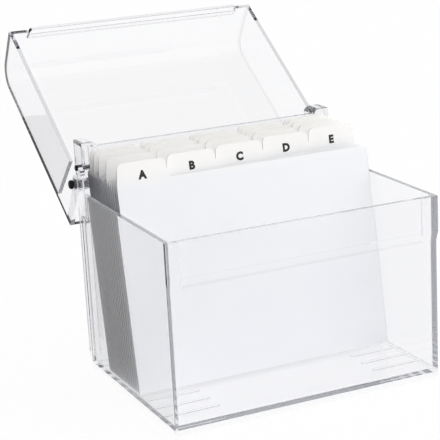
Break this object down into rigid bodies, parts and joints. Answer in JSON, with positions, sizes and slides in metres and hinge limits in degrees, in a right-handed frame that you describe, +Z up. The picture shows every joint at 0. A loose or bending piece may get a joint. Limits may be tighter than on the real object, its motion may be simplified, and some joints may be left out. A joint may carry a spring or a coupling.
{
  "type": "index card box",
  "caption": "Clear moulded card box with a rear-hinged clear lid standing open, and lettered tab dividers fanned inside it.",
  "frame": {"origin": "on the table, under the middle of the box's lower body, in width and in depth", "axes": "+X to the right across the front, +Y from the front wall to the hinge, +Z up"},
  "size_m": [0.1636, 0.2336, 0.179],
  "materials": {
    "box_plastic": "clear moulded polystyrene",
    "lid_plastic": "clear moulded polystyrene",
    "hinge_steel": "turned steel",
    "stop_steel": "turned steel",
    "divider_card": "white index board"
  },
  "bodies": {
    "box": {"box_body": "box_plastic", "hinge_pin_left": "hinge_steel", "hinge_pin_right": "hinge_steel", "stop_pin_left": "stop_steel", "stop_pin_right": "stop_steel"},
    "lid": {"lid": "lid_plastic"},
    "divider_a": {"divider_a": "divider_card"},
    "divider_b": {"divider_b": "divider_card"},
    "divider_c": {"divider_c": "divider_card"},
    "divider_d": {"divider_d": "divider_card"},
    "divider_e": {"divider_e": "divider_card"},
    "divider_f": {"divider_f": "divider_card"},
    "divider_g": {"divider_g": "divider_card"},
    "divider_h": {"divider_h": "divider_card"},
    "divider_i": {"divider_i": "divider_card"},
    "divider_j": {"divider_j": "divider_card"},
    "divider_k": {"divider_k": "divider_card"},
    "divider_l": {"divider_l": "divider_card"},
    "divider_m": {"divider_m": "divider_card"},
    "divider_n": {"divider_n": "divider_card"},
    "divider_o": {"divider_o": "divider_card"},
    "divider_p": {"divider_p": "divider_card"},
    "divider_q": {"divider_q": "divider_card"},
    "divider_r": {"divider_r": "divider_card"},
    "divider_s": {"divider_s": "divider_card"},
    "divider_t": {"divider_t": "divider_card"},
    "divider_u": {"divider_u": "divider_card"},
    "divider_v": {"divider_v": "divider_card"},
    "divider_w": {"divider_w": "divider_card"},
    "divider_xy": {"divider_xy": "divider_card"},
    "divider_z": {"divider_z": "divider_card"}
  },
  "joints": [
    {"name": "lid_hinge", "type": "hinge", "parent": "box", "child": "lid", "pos_m": [0, 0.061, 0.1057], "axis": [1, 0, 0], "range_deg": [0, 146]},
    {"name": "tilt_a", "type": "hinge", "parent": "box", "child": "divider_a", "pos_m": [0, -0.009, 0.00595], "axis": [1, 0, 0], "range_deg": [0, 30]},
    {"name": "tilt_b", "type": "hinge", "parent": "box", "child": "divider_b", "pos_m": [0, -0.00555, 0.00595], "axis": [1, 0, 0], "range_deg": [0, 28.03]},
    {"name": "tilt_c", "type": "hinge", "parent": "box", "child": "divider_c", "pos_m": [0, -0.00231, 0.00595], "axis": [1, 0, 0], "range_deg": [0, 25.99]},
    {"name": "tilt_d", "type": "hinge", "parent": "box", "child": "divider_d", "pos_m": [0, 0.00073, 0.00595], "axis": [1, 0, 0], "range_deg": [0, 24.08]},
    {"name": "tilt_e", "type": "hinge", "parent": "box", "child": "divider_e", "pos_m": [0, 0.00357, 0.00595], "axis": [1, 0, 0], "range_deg": [0, 22.29]},
    {"name": "tilt_f", "type": "hinge", "parent": "box", "child": "divider_f", "pos_m": [0, 0.00623, 0.00595], "axis": [1, 0, 0], "range_deg": [0, 20.61]},
    {"name": "tilt_g", "type": "hinge", "parent": "box", "child": "divider_g", "pos_m": [0, 0.00871, 0.00595], "axis": [1, 0, 0], "range_deg": [0, 19.05]},
    {"name": "tilt_h", "type": "hinge", "parent": "box", "child": "divider_h", "pos_m": [0, 0.01103, 0.00595], "axis": [1, 0, 0], "range_deg": [0, 17.59]},
    {"name": "tilt_i", "type": "hinge", "parent": "box", "child": "divider_i", "pos_m": [0, 0.01318, 0.00595], "axis": [1, 0, 0], "range_deg": [0, 16.23]},
    {"name": "tilt_j", "type": "hinge", "parent": "box", "child": "divider_j", "pos_m": [0, 0.0152, 0.00595], "axis": [1, 0, 0], "range_deg": [0, 14.97]},
    {"name": "tilt_k", "type": "hinge", "parent": "box", "child": "divider_k", "pos_m": [0, 0.01707, 0.00595], "axis": [1, 0, 0], "range_deg": [0, 13.79]},
    {"name": "tilt_l", "type": "hinge", "parent": "box", "child": "divider_l", "pos_m": [0, 0.01881, 0.00595], "axis": [1, 0, 0], "range_deg": [0, 12.7]},
    {"name": "tilt_m", "type": "hinge", "parent": "box", "child": "divider_m", "pos_m": [0, 0.02043, 0.00595], "axis": [1, 0, 0], "range_deg": [0, 11.68]},
    {"name": "tilt_n", "type": "hinge", "parent": "box", "child": "divider_n", "pos_m": [0, 0.02194, 0.00595], "axis": [1, 0, 0], "range_deg": [0, 10.72]},
    {"name": "tilt_o", "type": "hinge", "parent": "box", "child": "divider_o", "pos_m": [0, 0.02335, 0.00595], "axis": [1, 0, 0], "range_deg": [0, 9.84]},
    {"name": "tilt_p", "type": "hinge", "parent": "box", "child": "divider_p", "pos_m": [0, 0.02467, 0.00595], "axis": [1, 0, 0], "range_deg": [0, 9.01]},
    {"name": "tilt_q", "type": "hinge", "parent": "box", "child": "divider_q", "pos_m": [0, 0.02591, 0.00595], "axis": [1, 0, 0], "range_deg": [0, 8.23]},
    {"name": "tilt_r", "type": "hinge", "parent": "box", "child": "divider_r", "pos_m": [0, 0.02706, 0.00595], "axis": [1, 0, 0], "range_deg": [0, 7.5]},
    {"name": "tilt_s", "type": "hinge", "parent": "box", "child": "divider_s", "pos_m": [0, 0.02816, 0.00595], "axis": [1, 0, 0], "range_deg": [0, 6.81]},
    {"name": "tilt_t", "type": "hinge", "parent": "box", "child": "divider_t", "pos_m": [0, 0.0292, 0.00595], "axis": [1, 0, 0], "range_deg": [0, 6.16]},
    {"name": "tilt_u", "type": "hinge", "parent": "box", "child": "divider_u", "pos_m": [0, 0.03019, 0.00595], "axis": [1, 0, 0], "range_deg": [0, 5.53]},
    {"name": "tilt_v", "type": "hinge", "parent": "box", "child": "divider_v", "pos_m": [0, 0.03115, 0.00595], "axis": [1, 0, 0], "range_deg": [0, 4.92]},
    {"name": "tilt_w", "type": "hinge", "parent": "box", "child": "divider_w", "pos_m": [0, 0.03208, 0.00595], "axis": [1, 0, 0], "range_deg": [0, 4.34]},
    {"name": "tilt_xy", "type": "hinge", "parent": "box", "child": "divider_xy", "pos_m": [0, 0.03299, 0.00595], "axis": [1, 0, 0], "range_deg": [0, 3.77]},
    {"name": "tilt_z", "type": "hinge", "parent": "box", "child": "divider_z", "pos_m": [0, 0.03389, 0.00595], "axis": [1, 0, 0], "range_deg": [0, 3.2]}
  ],
  "couplings": [
    {"joint": "tilt_b", "follows": "tilt_a", "ratio": 0.9276},
    {"joint": "tilt_c", "follows": "tilt_a", "ratio": 0.8596},
    {"joint": "tilt_d", "follows": "tilt_a", "ratio": 0.7959},
    {"joint": "tilt_e", "follows": "tilt_a", "ratio": 0.7362},
    {"joint": "tilt_f", "follows": "tilt_a", "ratio": 0.6805},
    {"joint": "tilt_g", "follows": "tilt_a", "ratio": 0.6284},
    {"joint": "tilt_h", "follows": "tilt_a", "ratio": 0.5798},
    {"joint": "tilt_i", "follows": "tilt_a", "ratio": 0.5345},
    {"joint": "tilt_j", "follows": "tilt_a", "ratio": 0.4923},
    {"joint": "tilt_k", "follows": "tilt_a", "ratio": 0.4531},
    {"joint": "tilt_l", "follows": "tilt_a", "ratio": 0.4165},
    {"joint": "tilt_m", "follows": "tilt_a", "ratio": 0.3825},
    {"joint": "tilt_n", "follows": "tilt_a", "ratio": 0.3507},
    {"joint": "tilt_o", "follows": "tilt_a", "ratio": 0.3212},
    {"joint": "tilt_p", "follows": "tilt_a", "ratio": 0.2935},
    {"joint": "tilt_q", "follows": "tilt_a", "ratio": 0.2676},
    {"joint": "tilt_r", "follows": "tilt_a", "ratio": 0.2433},
    {"joint": "tilt_s", "follows": "tilt_a", "ratio": 0.2203},
    {"joint": "tilt_t", "follows": "tilt_a", "ratio": 0.1985},
    {"joint": "tilt_u", "follows": "tilt_a", "ratio": 0.1776},
    {"joint": "tilt_v", "follows": "tilt_a", "ratio": 0.1575},
    {"joint": "tilt_w", "follows": "tilt_a", "ratio": 0.138},
    {"joint": "tilt_xy", "follows": "tilt_a", "ratio": 0.1189},
    {"joint": "tilt_z", "follows": "tilt_a", "ratio": 0.1}
  ]
}
